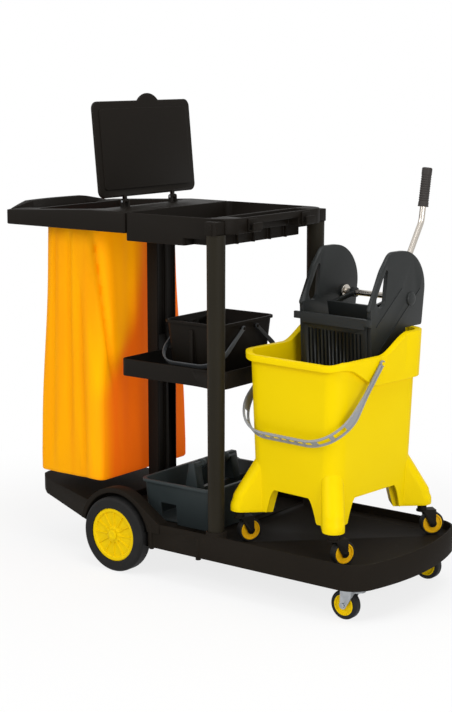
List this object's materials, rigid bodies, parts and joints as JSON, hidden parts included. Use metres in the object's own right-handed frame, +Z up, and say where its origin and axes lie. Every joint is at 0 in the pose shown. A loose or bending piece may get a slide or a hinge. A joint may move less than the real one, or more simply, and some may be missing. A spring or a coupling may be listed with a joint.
{
  "type": "janitor cart",
  "caption": "Wheeled cleaning cart with a lidded waste bag, shelves, a caddy and a parked yellow mop bucket with a down-press wringer.",
  "frame": {"origin": "on the floor under the middle of the cart's length and width", "axes": "+X forward towards the mop bucket, +Y across the cart, +Z up"},
  "size_m": [1.261, 0.532, 1.266],
  "materials": {
    "black_plastic": "fine moulded texture",
    "post_plastic": "smooth satin",
    "charcoal_plastic": "smooth satin",
    "caddy_plastic": "smooth satin",
    "bucket_yellow": "satin gloss",
    "wheel_yellow": "satin gloss",
    "tyre_rubber": "matte",
    "tread_rubber": "matte",
    "grip_rubber": "matte",
    "zinc_steel": "zinc plated",
    "chrome_steel": "polished",
    "bail_grey": "satin",
    "bag_fabric": "coated cloth"
  },
  "bodies": {
    "cart": {"base_platform": "black_plastic", "rear_axle": "zinc_steel", "hub_cap_l": "wheel_yellow", "hub_cap_r": "wheel_yellow", "caster_plate_l": "zinc_steel", "caster_plate_r": "zinc_steel", "post_l": "post_plastic", "post_r": "post_plastic", "post_cap_l": "black_plastic", "post_cap_r": "black_plastic", "rear_column": "black_plastic", "mid_shelf": "black_plastic", "top_tray": "black_plastic", "tray_hooks": "black_plastic", "bag_frame": "black_plastic", "lid_pins": "zinc_steel", "waste_bag": "bag_fabric"},
    "lid": {"bag_lid": "black_plastic"},
    "pail": {"shelf_bucket": "black_plastic"},
    "pail_bail_a": {"pail_bail_near": "bail_grey"},
    "pail_bail_b": {"pail_bail_far": "charcoal_plastic"},
    "tool_caddy": {"caddy": "caddy_plastic", "caddy_handle": "caddy_plastic"},
    "bucket": {"mop_bucket": "bucket_yellow"},
    "bucket_bail": {"mop_bail": "bail_grey"},
    "wringer": {"wringer_basket": "charcoal_plastic", "cheek_l": "charcoal_plastic", "cheek_r": "charcoal_plastic"},
    "lever": {"wringer_shaft": "chrome_steel", "lever_tube": "chrome_steel", "lever_grip": "grip_rubber"},
    "press": {"presser": "charcoal_plastic"},
    "rear_wheel_l": {"tyre_l": "tyre_rubber", "disc_l": "wheel_yellow"},
    "front_swivel_l": {"caster_fork_l": "zinc_steel", "caster_bolt_l": "zinc_steel"},
    "front_wheel_l": {"caster_tread_l": "tread_rubber", "caster_core_l": "wheel_yellow"},
    "rear_wheel_r": {"tyre_r": "tyre_rubber", "disc_r": "wheel_yellow"},
    "front_swivel_r": {"caster_fork_r": "zinc_steel", "caster_bolt_r": "zinc_steel"},
    "front_wheel_r": {"caster_tread_r": "tread_rubber", "caster_core_r": "wheel_yellow"},
    "bucket_swivel_nl": {"fork_nl": "charcoal_plastic"},
    "bucket_wheel_nl": {"tread_nl": "tread_rubber", "core_nl": "wheel_yellow"},
    "bucket_swivel_nr": {"fork_nr": "charcoal_plastic"},
    "bucket_wheel_nr": {"tread_nr": "tread_rubber", "core_nr": "wheel_yellow"},
    "bucket_swivel_fl": {"fork_fl": "charcoal_plastic"},
    "bucket_wheel_fl": {"tread_fl": "tread_rubber", "core_fl": "wheel_yellow"},
    "bucket_swivel_fr": {"fork_fr": "charcoal_plastic"},
    "bucket_wheel_fr": {"tread_fr": "tread_rubber", "core_fr": "wheel_yellow"}
  },
  "joints": [
    {"name": "rear_wheel_l_spin", "type": "hinge", "parent": "cart", "child": "rear_wheel_l", "pos_m": [-0.1755, -0.241, 0.1016], "axis": [0, 1, 0], "continuous": true},
    {"name": "front_swivel_l_turn", "type": "hinge", "parent": "cart", "child": "front_swivel_l", "pos_m": [0.5635, -0.199, 0.06], "axis": [0, 0, 1], "continuous": true},
    {"name": "front_wheel_l_spin", "type": "hinge", "parent": "front_swivel_l", "child": "front_wheel_l", "pos_m": [0.5285, -0.199, 0.0375], "axis": [0, 1, 0], "continuous": true},
    {"name": "rear_wheel_r_spin", "type": "hinge", "parent": "cart", "child": "rear_wheel_r", "pos_m": [-0.1755, 0.241, 0.1016], "axis": [0, 1, 0], "continuous": true},
    {"name": "front_swivel_r_turn", "type": "hinge", "parent": "cart", "child": "front_swivel_r", "pos_m": [0.5635, 0.199, 0.06], "axis": [0, 0, 1], "continuous": true},
    {"name": "front_wheel_r_spin", "type": "hinge", "parent": "front_swivel_r", "child": "front_wheel_r", "pos_m": [0.5285, 0.199, 0.0375], "axis": [0, 1, 0], "continuous": true},
    {"name": "lid_hinge", "type": "hinge", "parent": "cart", "child": "lid", "pos_m": [-0.2555, 0, 0.981], "axis": [0, -1, 0], "range_deg": [0, 84.6]},
    {"name": "pail_lift", "type": "slide", "parent": "cart", "child": "pail", "axis": [0, 0, 1], "range_m": [0, 0.06]},
    {"name": "pail_bail_near_swing", "type": "hinge", "parent": "pail", "child": "pail_bail_a", "pos_m": [-0.0055, -0.04, 0.6603], "axis": [-1, 0, 0], "range_deg": [0, 118]},
    {"name": "pail_bail_far_swing", "type": "hinge", "parent": "pail", "child": "pail_bail_b", "pos_m": [-0.0055, 0.02, 0.6603], "axis": [1, 0, 0], "range_deg": [0, 118]},
    {"name": "caddy_lift", "type": "slide", "parent": "cart", "child": "tool_caddy", "axis": [0, 0, 1], "range_m": [0, 0.15]},
    {"name": "bucket_lift", "type": "slide", "parent": "cart", "child": "bucket", "axis": [0, 0, 1], "range_m": [0, 0.06]},
    {"name": "bucket_bail_swing", "type": "hinge", "parent": "bucket", "child": "bucket_bail", "pos_m": [0.35851, -0.03391, 0.6163], "axis": [-0.9959, 0.0906, 0], "range_deg": [0, 118]},
    {"name": "bucket_swivel_nl_turn", "type": "hinge", "parent": "bucket", "child": "bucket_swivel_nl", "pos_m": [0.19037, -0.18228, 0.2003], "axis": [0, 0, 1], "range_deg": [-60, 60]},
    {"name": "bucket_wheel_nl_spin", "type": "hinge", "parent": "bucket_swivel_nl", "child": "bucket_wheel_nl", "pos_m": [0.20313, -0.15849, 0.1613], "axis": [0.8813, -0.4726, 0], "continuous": true},
    {"name": "bucket_swivel_nr_turn", "type": "hinge", "parent": "bucket", "child": "bucket_swivel_nr", "pos_m": [0.4971, -0.2102, 0.2003], "axis": [0, 0, 1], "range_deg": [-60, 60]},
    {"name": "bucket_wheel_nr_spin", "type": "hinge", "parent": "bucket_swivel_nr", "child": "bucket_wheel_nr", "pos_m": [0.50817, -0.18557, 0.1613], "axis": [0.9121, -0.4099, 0], "continuous": true},
    {"name": "bucket_swivel_fl_turn", "type": "hinge", "parent": "bucket", "child": "bucket_swivel_fl", "pos_m": [0.2239, 0.1862, 0.2003], "axis": [0, 0, 1], "range_deg": [-60, 25]},
    {"name": "bucket_wheel_fl_spin", "type": "hinge", "parent": "bucket_swivel_fl", "child": "bucket_wheel_fl", "pos_m": [0.25051, 0.19079, 0.1613], "axis": [0.1702, -0.9854, 0], "continuous": true},
    {"name": "bucket_swivel_fr_turn", "type": "hinge", "parent": "bucket", "child": "bucket_swivel_fr", "pos_m": [0.53063, 0.15828, 0.2003], "axis": [0, 0, 1], "range_deg": [-90, 90]},
    {"name": "bucket_wheel_fr_spin", "type": "hinge", "parent": "bucket_swivel_fr", "child": "bucket_wheel_fr", "pos_m": [0.54806, 0.1789, 0.1613], "axis": [0.7638, -0.6455, 0], "continuous": true},
    {"name": "wringer_lift", "type": "slide", "parent": "bucket", "child": "wringer", "axis": [0, 0, 1], "range_m": [0, 0.15]},
    {"name": "lever_press", "type": "hinge", "parent": "wringer", "child": "lever", "pos_m": [0.37591, 0.1573, 0.7523], "axis": [0.9959, -0.0906, 0], "range_deg": [0, 70]},
    {"name": "press_swing", "type": "hinge", "parent": "wringer", "child": "press", "pos_m": [0.37591, 0.1573, 0.7523], "axis": [0.9959, -0.0906, 0], "range_deg": [0, 31.5]}
  ],
  "couplings": [
    {"joint": "press_swing", "follows": "lever_press", "ratio": 0.45}
  ]
}
